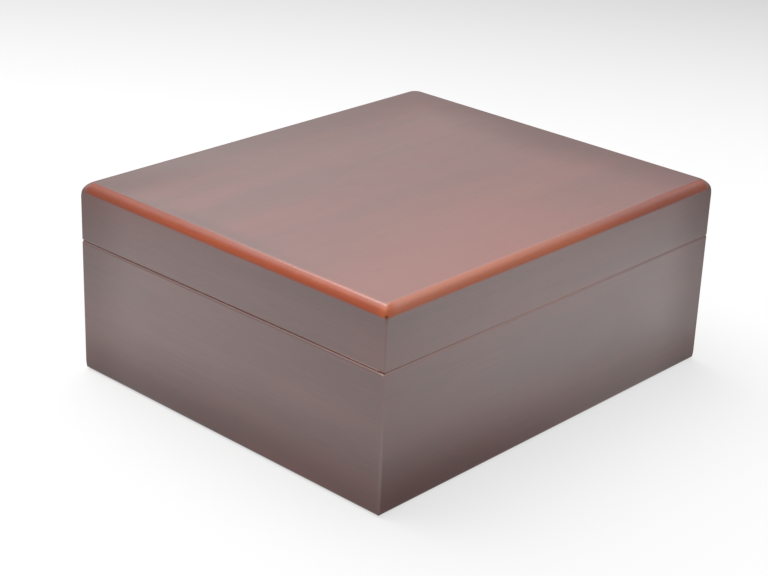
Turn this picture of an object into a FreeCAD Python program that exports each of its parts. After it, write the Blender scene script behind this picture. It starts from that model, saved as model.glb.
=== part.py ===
import FreeCAD, Part
import math
import os

from FreeCAD import Vector

# Rectangular presentation case with a hinged lid, in millimetres, +Z up.
# The origin is the middle of the underside. -Y is the front, +Y the hinged back, X the long side.

# Outside of the case
CASE_WIDTH = 263.0
CASE_DEPTH = 223.0
RIM_HEIGHT = 76.2
LID_HEIGHT = 32.5
LID_GAP = 0.3
TOP_ROUND = 5.0
BASE_ROUND = 2.0
EDGE_ROUND = 1.2
SEAM_CHAMFER = 1.0

# Walls and panels, with the veneer counted in the wall and in the top
WALL = 12.0
VENEER = 0.6
TOP_THICKNESS = 10.0
TOP_FIELD_DEPTH = 3.0
BOTTOM_THICKNESS = 6.0
REBATE_DEPTH = 6.0
PANEL_FIT = 0.2

# Felt under the base
FELT_THICKNESS = 0.5
FELT_MARGIN = 1.0

# Loose tongues across the mitred corners
TONGUE_WIDTH = 8.0
TONGUE_THICKNESS = 2.4
TONGUE_INSET = 7.6
TONGUE_STOP = 5.0
TONGUE_FIT = 0.05
MITRE_ANGLE = 45.0

# Lining: boards that line the walls and stand above the base's rim, and padded panels
LINER_THICKNESS = 2.0
LINER_FIT = 0.4
LIP_HEIGHT = 5.0
LIP_HEADROOM = 1.5
LID_LINER_THICKNESS = 1.5
FLOOR_PAD_EDGE = 7.0
FLOOR_PAD_CROWN = 2.0
LID_PAD_EDGE = 4.0
LID_PAD_CROWN = 1.5
PAD_FIT = 0.4
PAD_CORNER = 6.0
PAD_ROUND = 4.0

# Stop hinges
HINGE_LENGTH = 32.0
HINGE_SPACING = 150.0
LEAF_THICKNESS = 1.6
LEAF_DEPTH = 9.5
MORTISE_FIT = 0.1
BARREL_RADIUS = 2.2
BARREL_STANDOFF = 0.3
BARREL_FIT = 0.2
KNUCKLE_LENGTH = 10.6
KNUCKLE_GAP = 0.3
HEEL_HEIGHT = 3.2
STOP_ANGLE = 95.0
STOP_SLACK = 0.2
PIN_RADIUS = 1.0
PIN_CHAMFER = 0.25
PIN_PRESS_FIT = 0.01
PIN_RUNNING_FIT = 0.04

# Countersunk screws
SCREW_SPACING = 20.0
SCREW_INSET = 5.0
SCREW_HEAD_RADIUS = 2.0
SCREW_SHANK_RADIUS = 1.1
SCREW_LENGTH = 9.0
SCREW_TIP = 2.0
SCREW_SLOT_WIDTH = 0.5
SCREW_SLOT_DEPTH = 0.5
SCREW_FIT = 0.08

# How far a cutter runs past the face that it opens, and how closely two levels have to agree
OVERSHOOT = 1.0
TOLERANCE = 0.001

# Levels and places that follow from the sizes above
BASE_LOW = FELT_THICKNESS
FLOOR_LEVEL = BASE_LOW + BOTTOM_THICKNESS
LID_LOW = RIM_HEIGHT + LID_GAP
CASE_HEIGHT = LID_LOW + LID_HEIGHT
LIP_LEVEL = RIM_HEIGHT + LIP_HEIGHT
TOP_PANEL_LOW = CASE_HEIGHT - TOP_THICKNESS
CEILING_LEVEL = TOP_PANEL_LOW - TOP_FIELD_DEPTH
LINER_INNER = WALL + LINER_FIT + LINER_THICKNESS
LID_LINER_INNER = WALL + LID_LINER_THICKNESS
BACK_FACE = CASE_DEPTH / 2
AXIS_STANDOFF = BARREL_STANDOFF + BARREL_RADIUS
AXIS_Y = BACK_FACE + AXIS_STANDOFF
AXIS_Z = RIM_HEIGHT + LID_GAP / 2
HINGE_MIDDLES = {"left": -HINGE_SPACING / 2, "right": HINGE_SPACING / 2}

ORIGIN = Vector(0, 0, 0)
ALONG_X = Vector(1, 0, 0)
UP = Vector(0, 0, 1)

# The sides in order round the case. Corner numbers run the same way, from the front left corner.
SIDES = ("front", "right", "back", "left")


def slab(inset, low, high):
    """Flat plate over the case's plan, set in from all four outer faces."""
    corner = Vector(inset - CASE_WIDTH / 2, inset - CASE_DEPTH / 2, low)
    return Part.makeBox(CASE_WIDTH - 2 * inset, CASE_DEPTH - 2 * inset, high - low, corner)


def plan_corner(number, inset, level):
    """Corner of the case's plan, set in from both outer faces that meet there."""
    side_x, side_y = ((-1, -1), (1, -1), (1, 1), (-1, 1))[number % len(SIDES)]
    return Vector(side_x * (CASE_WIDTH / 2 - inset), side_y * (CASE_DEPTH / 2 - inset), level)


def mitred_board(side, outer, inner, low, high):
    """Upright board along one side, between two depths in from the outer face, mitred at both ends."""
    first = SIDES.index(side)
    corners = [
        plan_corner(first, outer, low),
        plan_corner(first + 1, outer, low),
        plan_corner(first + 1, inner, low),
        plan_corner(first, inner, low),
    ]
    return Part.Face(Part.makePolygon(corners + corners[:1])).extrude(UP * (high - low))


def level_edges(solid, level):
    """Edges of a solid whose ends all lie at one height."""
    return [
        edge for edge in solid.Edges
        if all(math.isclose(end.Z, level, abs_tol=TOLERANCE) for end in edge.Vertexes)
    ]


def upright_edges(solid):
    """Edges of a solid that run straight up."""
    return [
        edge for edge in solid.Edges
        if math.hypot(edge.BoundBox.XLength, edge.BoundBox.YLength) < TOLERANCE
    ]


def eased_uprights(block, low, high):
    """The block with its four upright edges eased, up to the full height."""
    post = slab(0, low, high)
    return block.common(post.makeFillet(EDGE_ROUND, upright_edges(post)))


def base_envelope():
    """Outer form of the wooden base: rounded at the foot, chamfered at the rim, eased at the corners."""
    block = slab(0, BASE_LOW, RIM_HEIGHT)
    block = block.makeFillet(BASE_ROUND, level_edges(block, BASE_LOW))
    block = block.makeChamfer(SEAM_CHAMFER, level_edges(block, RIM_HEIGHT))
    return eased_uprights(block, BASE_LOW, RIM_HEIGHT)


def lid_envelope():
    """Outer form of the wooden lid: rounded at the top, chamfered at the rim, eased at the corners."""
    block = slab(0, LID_LOW, CASE_HEIGHT)
    block = block.makeFillet(TOP_ROUND, level_edges(block, CASE_HEIGHT))
    block = block.makeChamfer(SEAM_CHAMFER, level_edges(block, LID_LOW))
    return eased_uprights(block, LID_LOW, CASE_HEIGHT)


def corner_tongues(low, high, fit):
    """Loose tongues across the four mitres. The grooves that hold them are the same, larger by the fit."""
    width = TONGUE_WIDTH + 2 * fit
    thickness = TONGUE_THICKNESS + 2 * fit
    tongues = []
    for number in range(len(SIDES)):
        tongue = Part.makeBox(width, thickness, high - low + 2 * fit,
                              Vector(-width / 2, -thickness / 2, low - fit))
        tongue.rotate(ORIGIN, UP, MITRE_ANGLE if number % 2 else -MITRE_ANGLE)
        tongue.translate(plan_corner(number, TONGUE_INSET, 0))
        tongues.append(tongue)
    return tongues


def base_tongues(fit):
    return corner_tongues(FLOOR_LEVEL + TONGUE_STOP, RIM_HEIGHT - TONGUE_STOP, fit)


def lid_tongues(fit):
    return corner_tongues(LID_LOW + TONGUE_STOP, TOP_PANEL_LOW - TONGUE_STOP, fit)


def screw_form(fit):
    """Countersunk screw, head up at the origin. Its hole is the same, larger by the fit."""
    head = SCREW_HEAD_RADIUS + fit
    shank = SCREW_SHANK_RADIUS + fit
    countersink = SCREW_HEAD_RADIUS - SCREW_SHANK_RADIUS
    profile = [
        Vector(0, 0, 0),
        Vector(head, 0, 0),
        Vector(shank, 0, -countersink),
        Vector(shank, 0, SCREW_TIP - SCREW_LENGTH),
        Vector(0, 0, -SCREW_LENGTH - fit),
    ]
    return Part.Face(Part.makePolygon(profile + profile[:1])).revolve(ORIGIN, UP, 360)


def slotted_screw():
    slot = Part.makeBox(2 * SCREW_HEAD_RADIUS, SCREW_SLOT_WIDTH, SCREW_SLOT_DEPTH,
                        Vector(-SCREW_HEAD_RADIUS, -SCREW_SLOT_WIDTH / 2, -SCREW_SLOT_DEPTH))
    return screw_form(0).cut(slot)


def in_screw_places(form, half):
    """Copies of a screw or its hole in both hinges, driven down into the base or up into the lid."""
    level = RIM_HEIGHT if half == "base" else LID_LOW
    copies = []
    for middle in HINGE_MIDDLES.values():
        for offset in (-SCREW_SPACING / 2, SCREW_SPACING / 2):
            copy = form.copy()
            if half == "lid":
                copy.rotate(ORIGIN, ALONG_X, 180)
            copy.translate(Vector(middle + offset, BACK_FACE - SCREW_INSET, level))
            copies.append(copy)
    return copies


def hinge_mortises(half):
    """Shallow recesses in the base's or the lid's back rim that take the hinge leaves."""
    low = RIM_HEIGHT - LEAF_THICKNESS if half == "base" else LID_LOW - OVERSHOOT
    length = HINGE_LENGTH + 2 * MORTISE_FIT
    depth = LEAF_DEPTH + MORTISE_FIT
    return [
        Part.makeBox(length, depth + OVERSHOOT, LEAF_THICKNESS + OVERSHOOT,
                     Vector(middle - length / 2, BACK_FACE - depth, low))
        for middle in HINGE_MIDDLES.values()
    ]


def barrel(start, end, radius):
    """Cylinder on the hinge axis."""
    return Part.makeCylinder(radius, end - start, Vector(start, AXIS_Y, AXIS_Z), ALONG_X)


def knuckle_spans(middle):
    """Stretches of a hinge's barrel: the lid's knuckle in the middle, the base's at both ends."""
    end = HINGE_LENGTH / 2
    lid_end = KNUCKLE_LENGTH / 2
    base_end = lid_end + KNUCKLE_GAP
    lid_spans = [(middle - lid_end, middle + lid_end)]
    base_spans = [(middle - end, middle - base_end), (middle + base_end, middle + end)]
    return base_spans, lid_spans


def leaf_blank(middle, half):
    """Leaf plate with the stop heel behind the case. The stop face is a plane through the hinge axis."""
    rise_sign = -1 if half == "base" else 1
    half_stop = math.radians((STOP_ANGLE + STOP_SLACK) / 2)
    half_gap = LID_GAP / 2
    section = [
        (-AXIS_STANDOFF - LEAF_DEPTH, half_gap),
        (-AXIS_STANDOFF - LEAF_DEPTH, half_gap + LEAF_THICKNESS),
        (-AXIS_STANDOFF, half_gap + LEAF_THICKNESS),
        (-AXIS_STANDOFF, HEEL_HEIGHT),
        (HEEL_HEIGHT / math.tan(half_stop), HEEL_HEIGHT),
        (0, 0),
        (-BARREL_RADIUS / 2, half_gap),
    ]
    start = middle - HINGE_LENGTH / 2
    corners = [Vector(start, AXIS_Y + out, AXIS_Z + rise_sign * rise) for out, rise in section]
    return Part.Face(Part.makePolygon(corners + corners[:1])).extrude(ALONG_X * HINGE_LENGTH)


def hinge_leaf(middle, half):
    """One leaf with its knuckles, cleared round the other leaf's knuckles, bored for the pin."""
    base_spans, lid_spans = knuckle_spans(middle)
    own_spans, other_spans, fit = base_spans, lid_spans, PIN_PRESS_FIT
    if half == "lid":
        own_spans, other_spans, fit = lid_spans, base_spans, PIN_RUNNING_FIT
    leaf = leaf_blank(middle, half)
    for start, end in other_spans:
        leaf = leaf.cut(barrel(start - KNUCKLE_GAP, end + KNUCKLE_GAP, BARREL_RADIUS + BARREL_FIT))
    for start, end in own_spans:
        leaf = leaf.fuse(barrel(start, end, BARREL_RADIUS))
    bore = barrel(middle - HINGE_LENGTH / 2, middle + HINGE_LENGTH / 2, PIN_RADIUS + fit)
    return leaf.cut([bore] + in_screw_places(screw_form(SCREW_FIT), half)).removeSplitter()


def hinge_pin(middle):
    start = middle - HINGE_LENGTH / 2
    end = middle + HINGE_LENGTH / 2
    pin = barrel(start, end, PIN_RADIUS)
    rims = [edge for edge in pin.Edges if len(edge.Vertexes) == 1]
    return pin.makeChamfer(PIN_CHAMFER, rims)


def crowned_pad(inset, edge, crown):
    """Padded panel, flat below, domed above, with rounded corners and a rounded upper edge."""
    width = CASE_WIDTH - 2 * inset
    depth = CASE_DEPTH - 2 * inset
    half_diagonal = math.hypot(width, depth) / 2
    dome_radius = (half_diagonal ** 2 + crown ** 2) / (2 * crown)
    block = slab(inset, 0, edge + crown)
    block = block.makeFillet(PAD_CORNER, upright_edges(block))
    block = block.makeFillet(PAD_ROUND, level_edges(block, edge + crown))
    return block.common(Part.makeSphere(dome_radius, Vector(0, 0, edge + crown - dome_radius)))


def floor_pad():
    pad = crowned_pad(LINER_INNER + PAD_FIT, FLOOR_PAD_EDGE, FLOOR_PAD_CROWN)
    return pad.translated(UP * FLOOR_LEVEL)


def lid_pad():
    pad = crowned_pad(LID_LINER_INNER + PAD_FIT, LID_PAD_EDGE, LID_PAD_CROWN)
    return pad.rotated(ORIGIN, ALONG_X, 180).translated(UP * CEILING_LEVEL)


def lid_top_panel():
    """Core of the lid's top, with a raised field below that drops between the lid's walls."""
    plate = slab(VENEER, TOP_PANEL_LOW, CASE_HEIGHT - VENEER).common(lid_envelope())
    field = slab(WALL + PANEL_FIT, CEILING_LEVEL, TOP_PANEL_LOW)
    return plate.fuse(field).removeSplitter()


def side_pieces():
    """Walls, veneers and liners of the base and the lid, one of each on every side."""
    base_form = base_envelope()
    lid_form = lid_envelope()
    rebate = slab(WALL - REBATE_DEPTH, BASE_LOW - OVERSHOOT, FLOOR_LEVEL)
    pilot = screw_form(SCREW_FIT)
    pieces = {}
    for side in SIDES:
        base_wall = mitred_board(side, VENEER, WALL, BASE_LOW, RIM_HEIGHT).common(base_form)
        base_wall = base_wall.cut([rebate] + base_tongues(TONGUE_FIT))
        base_veneer = mitred_board(side, 0, VENEER, BASE_LOW, RIM_HEIGHT).common(base_form)
        lid_wall = mitred_board(side, VENEER, WALL, LID_LOW, TOP_PANEL_LOW).common(lid_form)
        lid_wall = lid_wall.cut(lid_tongues(TONGUE_FIT))
        lid_veneer = mitred_board(side, 0, VENEER, LID_LOW, CASE_HEIGHT - VENEER).common(lid_form)
        if side == "back":
            base_wall = base_wall.cut(hinge_mortises("base") + in_screw_places(pilot, "base"))
            base_veneer = base_veneer.cut(hinge_mortises("base"))
            lid_wall = lid_wall.cut(hinge_mortises("lid") + in_screw_places(pilot, "lid"))
            lid_veneer = lid_veneer.cut(hinge_mortises("lid"))
        pieces["base_" + side + "_wall"] = base_wall
        pieces["base_" + side + "_veneer"] = base_veneer
        pieces["base_" + side + "_liner"] = mitred_board(
            side, WALL + LINER_FIT, LINER_INNER, FLOOR_LEVEL, LIP_LEVEL)
        pieces["lid_" + side + "_wall"] = lid_wall
        pieces["lid_" + side + "_veneer"] = lid_veneer
        pieces["lid_" + side + "_liner"] = mitred_board(
            side, WALL, LID_LINER_INNER, LIP_LEVEL + LIP_HEADROOM, CEILING_LEVEL)
    return pieces


def panel_pieces():
    """Flat and padded pieces that close the case above and below, and the corner tongues."""
    return {
        "base_felt": slab(BASE_ROUND + FELT_MARGIN, 0, FELT_THICKNESS),
        "base_bottom_panel": slab(WALL - REBATE_DEPTH + PANEL_FIT, BASE_LOW, FLOOR_LEVEL),
        "base_floor_pad": floor_pad(),
        "base_mitre_tongues": Part.makeCompound(base_tongues(0)),
        "lid_top_panel": lid_top_panel(),
        "lid_top_veneer": slab(VENEER, CASE_HEIGHT - VENEER, CASE_HEIGHT).common(lid_envelope()),
        "lid_pad": lid_pad(),
        "lid_mitre_tongues": Part.makeCompound(lid_tongues(0)),
    }


def hinge_pieces():
    """Leaves, pins and screws of the two hinges."""
    pieces = {
        "hinge_base_screws": Part.makeCompound(in_screw_places(slotted_screw(), "base")),
        "hinge_lid_screws": Part.makeCompound(in_screw_places(slotted_screw(), "lid")),
    }
    for name, middle in HINGE_MIDDLES.items():
        pieces[name + "_hinge_base_leaf"] = hinge_leaf(middle, "base")
        pieces[name + "_hinge_lid_leaf"] = hinge_leaf(middle, "lid")
        pieces[name + "_hinge_pin"] = hinge_pin(middle)
    return pieces


os.makedirs("parts", exist_ok=True)
for family in (side_pieces(), panel_pieces(), hinge_pieces()):
    for node, shape in family.items():
        shape.exportStep("parts/" + node + ".step")
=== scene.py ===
import math

import bmesh
import bpy
from mathutils import Matrix, Vector


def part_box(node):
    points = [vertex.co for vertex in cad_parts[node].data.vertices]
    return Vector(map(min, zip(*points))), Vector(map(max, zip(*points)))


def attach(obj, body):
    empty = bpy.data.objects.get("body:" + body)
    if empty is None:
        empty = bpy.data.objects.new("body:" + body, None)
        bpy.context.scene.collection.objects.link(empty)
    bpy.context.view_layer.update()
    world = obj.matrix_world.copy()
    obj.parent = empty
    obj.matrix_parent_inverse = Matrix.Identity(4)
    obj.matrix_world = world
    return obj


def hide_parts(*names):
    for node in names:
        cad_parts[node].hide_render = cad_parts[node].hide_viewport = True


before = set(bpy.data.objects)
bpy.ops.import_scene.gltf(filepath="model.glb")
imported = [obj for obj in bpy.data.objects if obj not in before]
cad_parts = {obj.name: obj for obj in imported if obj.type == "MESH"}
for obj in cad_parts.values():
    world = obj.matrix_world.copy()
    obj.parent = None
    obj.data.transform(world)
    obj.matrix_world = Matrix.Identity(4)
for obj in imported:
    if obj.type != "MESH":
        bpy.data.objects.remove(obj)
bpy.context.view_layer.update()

# Sizes in metres. They repeat the ones that the solids were made with.
MM = 0.001
VENEER = 0.6 * MM
TOP_ROUND = 5.0 * MM
BASE_ROUND = 2.0 * MM
EDGE_ROUND = 1.2 * MM
SEAM_CHAMFER = 1.0 * MM
WALL = 12.0 * MM
PANEL_FIT = 0.2 * MM

# How far small arrises are eased, and the upright corners of boards inside the case
ARRIS_EASE = 1.2 * MM
MITRE_EASE = 0.4 * MM
FINE_ROUND = 0.05 * MM

# Ease of the arrises at the seam, which shuts tighter at the front, and how far the lid's veneer hangs in
LID_EASE = 0.75 * MM
LID_HANG = 0.1 * MM
FRONT_EASE = 0.35 * MM
FRONT_CHAMFER = 0.65 * MM

# The lid's corners are sanded rounder towards the top, least the one between left and front, and the base's
# a little towards the foot
BALL_ROUND = 4.6 * MM
NEAR_BALL = 2.2 * MM
BALL_RISE = 3.0 * MM
FOOT_BALL = 2.0 * MM
FOOT_RISE = 5.0 * MM
SLOPE_STEP = 0.01 * MM

# Steps over the height in which a corner grows, in a quarter turn of an outline, and in half a corner
BALL_STEPS = 4
QUARTER_STEPS = 24
LEAST_STEPS = 2
CORNER_STEPS = 8
QUARTER = math.pi / 2

# Levels and half sizes read from the frame
HALF_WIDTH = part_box("base_right_veneer")[1].x
HALF_DEPTH = -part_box("base_front_veneer")[0].y
BASE_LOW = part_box("base_front_wall")[0].z
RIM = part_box("base_front_wall")[1].z
LID_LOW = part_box("lid_front_wall")[0].z
PANEL_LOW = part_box("lid_front_wall")[1].z
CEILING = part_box("lid_top_panel")[0].z
CASE_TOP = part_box("lid_top_veneer")[1].z
ROUND_FOOT = CASE_TOP - TOP_ROUND

# Camera fitted to the photo's straight edges, in metres
CAMERA_PLACE = (-0.69183, -0.62096, 0.44532)
CAMERA_AIM = (-0.007807, 0.003767, 0.047001)
CAMERA_ROLL = math.radians(2.248)
CAMERA_LENS = 85.717
SENSOR_WIDTH = 36.0

# Sides of the case: the way out, half the length, and the distance from the middle
SIDES = {
    "front": (Vector((0, -1, 0)), HALF_WIDTH, HALF_DEPTH),
    "right": (Vector((1, 0, 0)), HALF_DEPTH, HALF_WIDTH),
    "back": (Vector((0, 1, 0)), HALF_WIDTH, HALF_DEPTH),
    "left": (Vector((-1, 0, 0)), HALF_DEPTH, HALF_WIDTH),
}
PLAN_CORNERS = ((1, -1), (1, 1), (-1, 1), (-1, -1))
UP = Vector((0, 0, 1))


# Outlines: a run is a list of (inset, level, normal), where the normal is (inward, up)

def arc_run(inset, level, radius, start, end):
    """Part of an arc round a centre. Angle 0 faces out of the case, and a quarter turn faces up."""
    steps = max(LEAST_STEPS, math.ceil(abs(end - start) / QUARTER * QUARTER_STEPS))
    run = []
    for step in range(steps + 1):
        angle = start + (end - start) * step / steps
        normal = (-math.cos(angle), math.sin(angle))
        run.append((inset + radius * normal[0], level + radius * normal[1], normal))
    return run


def point_run(inset, level):
    """A sharp corner of an outline."""
    return [(inset, level, None)]


def outline_edges(runs, closed):
    """Points of an outline, and its edges as (first, second, first normal, second normal)."""
    points, edges, normals = [], [], []
    for run in runs:
        for place, item in enumerate(run):
            points.append((item[0], item[1]))
            normals.append(item[2])
            if len(points) > 1:
                edges.append((len(points) - 2, len(points) - 1, place > 0))
    if closed:
        edges.append((len(points) - 1, 0, False))
    made = []
    for first, second, smooth in edges:
        if smooth:
            made.append((first, second, normals[first], normals[second]))
            continue
        inward = points[second][0] - points[first][0]
        rise = points[second][1] - points[first][1]
        length = math.hypot(inward, rise)
        normal = (-rise / length, inward / length)
        made.append((first, second, normal, normal))
    return points, made


# Upright corners: each takes the depth in from the outer face, the level, and whether it is the near corner

def is_near(side_x, side_y):
    """Whether a corner is the one between the left and the front."""
    return side_x < 0 and side_y < 0


def corner_round(inset, level, near):
    """Radius of a plain upright corner, finer in the depth of the veneer."""
    return max(MITRE_EASE, EDGE_ROUND - (EDGE_ROUND - MITRE_EASE) * inset / VENEER)


def grown_round(largest, share):
    """Radius of a corner that has grown by a share, eased at both ends."""
    return EDGE_ROUND + (largest - EDGE_ROUND) * share * share * (3 - 2 * share)


def ball_corner(inset, level, near):
    """Radius of the lid's upright corner, which grows towards the top."""
    share = min(1.0, (level - CASE_TOP + TOP_ROUND + BALL_RISE) / (TOP_ROUND + BALL_RISE))
    if share <= 0:
        return corner_round(inset, level, near)
    return grown_round(NEAR_BALL if near else BALL_ROUND, share)


def foot_corner(inset, level, near):
    """Radius of the base's upright corner, which grows towards the foot."""
    share = min(1.0, (BASE_LOW + FOOT_RISE - level) / FOOT_RISE)
    if share <= 0:
        return corner_round(inset, level, near)
    return grown_round(FOOT_BALL, share)


def even_corner(radius):
    """Corner that has one radius throughout."""
    return lambda inset, level, near: radius


def corner_slope(rounding, point, near):
    """How fast a corner's radius grows with the level, at a point of an outline."""
    inset, level = point
    above = rounding(inset, level + SLOPE_STEP, near)
    return (above - rounding(inset, level - SLOPE_STEP, near)) / (2 * SLOPE_STEP)


def corner_normal(outward, normal, turn, slope):
    """Normal of an outline that is swept round a corner whose radius grows by the slope."""
    spread = math.cos(turn) + math.sin(turn)
    rise = normal[1] * spread - normal[0] * slope * (spread - 1)
    return (outward * -normal[0] + UP * rise).normalized()


# Swept pieces

def show_mesh(name, mesh):
    """Object that shows a mesh."""
    piece = bpy.data.objects.new(name, mesh)
    bpy.context.scene.collection.objects.link(piece)
    return piece


def shaded_mesh(name, vertices, faces, normals):
    """Piece with its own normal at every corner of every face."""
    mesh = bpy.data.meshes.new(name)
    mesh.from_pydata(vertices, [], faces)
    mesh.shade_smooth()
    mesh.normals_split_custom_set([normal for face in normals for normal in face])
    return show_mesh(name, mesh)


def swept_faces(edges, stations, gaps, turned):
    """Faces and their normals across the gaps between neighbouring stations of a swept outline."""
    count = len(stations)
    faces, normals = [], []
    for first, second, low_normal, high_normal in edges:
        for here in range(gaps):
            after = (here + 1) % count
            faces.append((first * count + here, first * count + after,
                          second * count + after, second * count + here))
            normals.append((turned(first, low_normal, stations[here]),
                            turned(first, low_normal, stations[after]),
                            turned(second, high_normal, stations[after]),
                            turned(second, high_normal, stations[here])))
    return faces, normals


def side_strip(name, side, runs, rounding):
    """Outline swept along one side of the case, mitred at both ends, with half of each corner's round."""
    outward, half_length, reach = SIDES[side]
    along = UP.cross(outward)
    points, edges = outline_edges(runs, True)
    turns = [QUARTER / 2 * step / CORNER_STEPS for step in range(CORNER_STEPS + 1)]
    stations = [(-1, turn) for turn in reversed(turns)] + [(1, turn) for turn in turns]
    count = len(stations)
    nears = {}
    for end in (-1, 1):
        spot = outward * reach + along * end * half_length
        nears[end] = is_near(spot.x, spot.y)
    vertices = []
    for inset, level in points:
        for end, turn in stations:
            radius = rounding(inset, level, nears[end])
            run = end * (half_length - inset - radius + radius * math.sin(turn))
            out = reach - inset - radius + radius * math.cos(turn)
            vertices.append(along * run + outward * out + UP * level)

    def turned(place, normal, station):
        end, turn = station
        level_part = outward * math.cos(turn) + along * end * math.sin(turn)
        return corner_normal(level_part, normal, turn, corner_slope(rounding, points[place], nears[end]))

    faces, normals = swept_faces(edges, stations, count - 1, turned)
    left_cap = [place * count for place in range(len(points))]
    right_cap = [place * count + count - 1 for place in reversed(range(len(points)))]
    for cap, end in ((left_cap, -1), (right_cap, 1)):
        faces.append(cap)
        normals.append([(along * end - outward).normalized()] * len(cap))
    return shaded_mesh(name, vertices, faces, normals)


def ring_piece(name, runs, rounding):
    """Outline swept round the whole plan, closed flat at its first and last points."""
    points, edges = outline_edges(runs, False)
    stations = []
    for number, (side_x, side_y) in enumerate(PLAN_CORNERS):
        for step in range(2 * CORNER_STEPS + 1):
            turn = QUARTER * step / (2 * CORNER_STEPS)
            stations.append((side_x, side_y, turn, turn + QUARTER * (number - 1)))
    count = len(stations)
    vertices = []
    for inset, level in points:
        for side_x, side_y, turn, heading in stations:
            radius = rounding(inset, level, is_near(side_x, side_y))
            vertices.append((side_x * (HALF_WIDTH - inset - radius) + radius * math.cos(heading),
                             side_y * (HALF_DEPTH - inset - radius) + radius * math.sin(heading), level))

    def turned(place, normal, station):
        side_x, side_y, turn, heading = station
        outward = Vector((math.cos(heading), math.sin(heading), 0))
        slope = corner_slope(rounding, points[place], is_near(side_x, side_y))
        return corner_normal(outward, normal, turn, slope)

    faces, normals = swept_faces(edges, stations, count, turned)
    faces.append(list(reversed(range(count))))
    normals.append([-UP] * count)
    faces.append([(len(points) - 1) * count + here for here in range(count)])
    normals.append([UP] * count)
    return shaded_mesh(name, vertices, faces, normals)


# Materials. A span is (from, to) or (from, to, value at the first, value at the second) of a smooth step.
# A noise is (cycles per metre along each axis, detail, roughness, seed). A relief is (strength, distance).

NOISE_MIDDLE = 0.5
SEED_SHIFT = (1.0, 0.7, 1.3)


def set_inputs(tree, node, inputs):
    """Inputs of a node, given as numbers, colours or other nodes' outputs."""
    for key, value in dict(inputs).items():
        if isinstance(value, bpy.types.NodeSocket):
            tree.links.new(value, node.inputs[key])
        else:
            node.inputs[key].default_value = value


def add_node(tree, kind, inputs=(), **settings):
    """Node with its settings and its inputs."""
    node = tree.nodes.new(kind)
    for key, value in settings.items():
        setattr(node, key, value)
    set_inputs(tree, node, inputs)
    return node


def new_material(name):
    """Material, its nodes, its shader, and the place of a point in the case's frame."""
    material = bpy.data.materials.new(name)
    material.use_nodes = True
    tree = material.node_tree
    place = add_node(tree, "ShaderNodeTexCoord").outputs["Object"]
    return material, tree, tree.nodes["Principled BSDF"], place


def math_node(tree, operation, *values):
    return add_node(tree, "ShaderNodeMath", enumerate(values), operation=operation).outputs[0]


def sum_of(operation):
    """Function that adds a math node of one kind and gives its result."""
    return lambda tree, *values: math_node(tree, operation, *values)


plus = sum_of("ADD")
minus = sum_of("SUBTRACT")
times = sum_of("MULTIPLY")
times_plus = sum_of("MULTIPLY_ADD")
largest = sum_of("MAXIMUM")
smallest = sum_of("MINIMUM")


def split_axes(tree, place):
    return add_node(tree, "ShaderNodeSeparateXYZ", {0: place}).outputs


def ramp(tree, value, low, high, to_low=0.0, to_high=1.0):
    """Smooth step of a value between two limits."""
    return add_node(tree, "ShaderNodeMapRange",
                    {"Value": value, "From Min": low, "From Max": high, "To Min": to_low, "To Max": to_high},
                    interpolation_type="SMOOTHSTEP").outputs[0]


def mix_colour(tree, share, first, second):
    return add_node(tree, "ShaderNodeMix", {0: share, 6: first, 7: second}, data_type="RGBA").outputs[2]


def layered(tree, colour, *layers):
    """Colour under layers, each of them a share and a colour."""
    for share, over in layers:
        colour = mix_colour(tree, share, colour, over)
    return colour


def mix_value(tree, share, first, second):
    return add_node(tree, "ShaderNodeMix", {0: share, 2: first, 3: second}, data_type="FLOAT").outputs[0]


def weighted(tree, share, first, second):
    """Sum of a share of the first value and the rest of the second."""
    return times_plus(tree, first, share, times(tree, second, 1 - share))


def noise(tree, place, scale, detail, roughness, seed):
    shift = tuple(seed * axis for axis in SEED_SHIFT)
    stretched = add_node(tree, "ShaderNodeMapping", {"Vector": place, "Scale": scale, "Location": shift})
    return add_node(tree, "ShaderNodeTexNoise",
                    {"Vector": stretched.outputs[0], "Scale": 1.0, "Detail": detail,
                     "Roughness": roughness}).outputs[0]


def grain_noise(tree, place, axis, kind, seed):
    """Noise that is drawn out along the grain."""
    along, across, detail, roughness, step = kind
    scale = tuple(along if name == axis else across for name in "xyz")
    return noise(tree, place, scale, detail, roughness, seed + step)


def wandering(tree, place, kind, width):
    """Slow waver to both sides of 0, for lines that were sanded or sprayed by hand."""
    waver = minus(tree, noise(tree, place, *kind), NOISE_MIDDLE)
    return times(tree, waver, width)


def add_relief(tree, shader, height, relief):
    strength, distance = relief
    bump = add_node(tree, "ShaderNodeBump", {"Height": height, "Strength": strength, "Distance": distance})
    tree.links.new(bump.outputs[0], shader.inputs["Normal"])


# Colours of the wood

TOP_DARK = (0.130, 0.031, 0.023, 1)
TOP_LIGHT = (0.210, 0.046, 0.033, 1)
TOP_EDGE = (0.055, 0.018, 0.015, 1)
TOP_FRONT = (0.300, 0.064, 0.040, 1)
# The sides' veneer is a darker copy of the top's: painted shade, since the sides get less light than the top.
SIDE_DARK = (0.088, 0.022, 0.017, 1)
SIDE_LIGHT = (0.150, 0.034, 0.025, 1)
# Dark of the pores and of the dark mark, also used for painted shade at the far ends of the sides
PORE_AND_SHADE_DARK = (0.050, 0.013, 0.010, 1)
CORE_DARK = (0.370, 0.064, 0.021, 1)
CORE_LIGHT = (0.460, 0.096, 0.035, 1)
CORE_DEEP = (0.262, 0.057, 0.028, 1)
# Painted light for the core along the left of the front edge
CORE_PAINTED_LIGHT = (0.490, 0.108, 0.030, 1)
CORE_DULL = (0.250, 0.082, 0.062, 1)
# Painted sheen for the rounded upright corners, which reflect less than the faces beside them
ARRIS_SHEEN = (0.225, 0.108, 0.088, 1)
# Orange core at the seam's arrises, also painted light on the lid's down-facing arris along the left
SEAM_CORE_AND_LIGHT = (0.335, 0.140, 0.105, 1)

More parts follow.
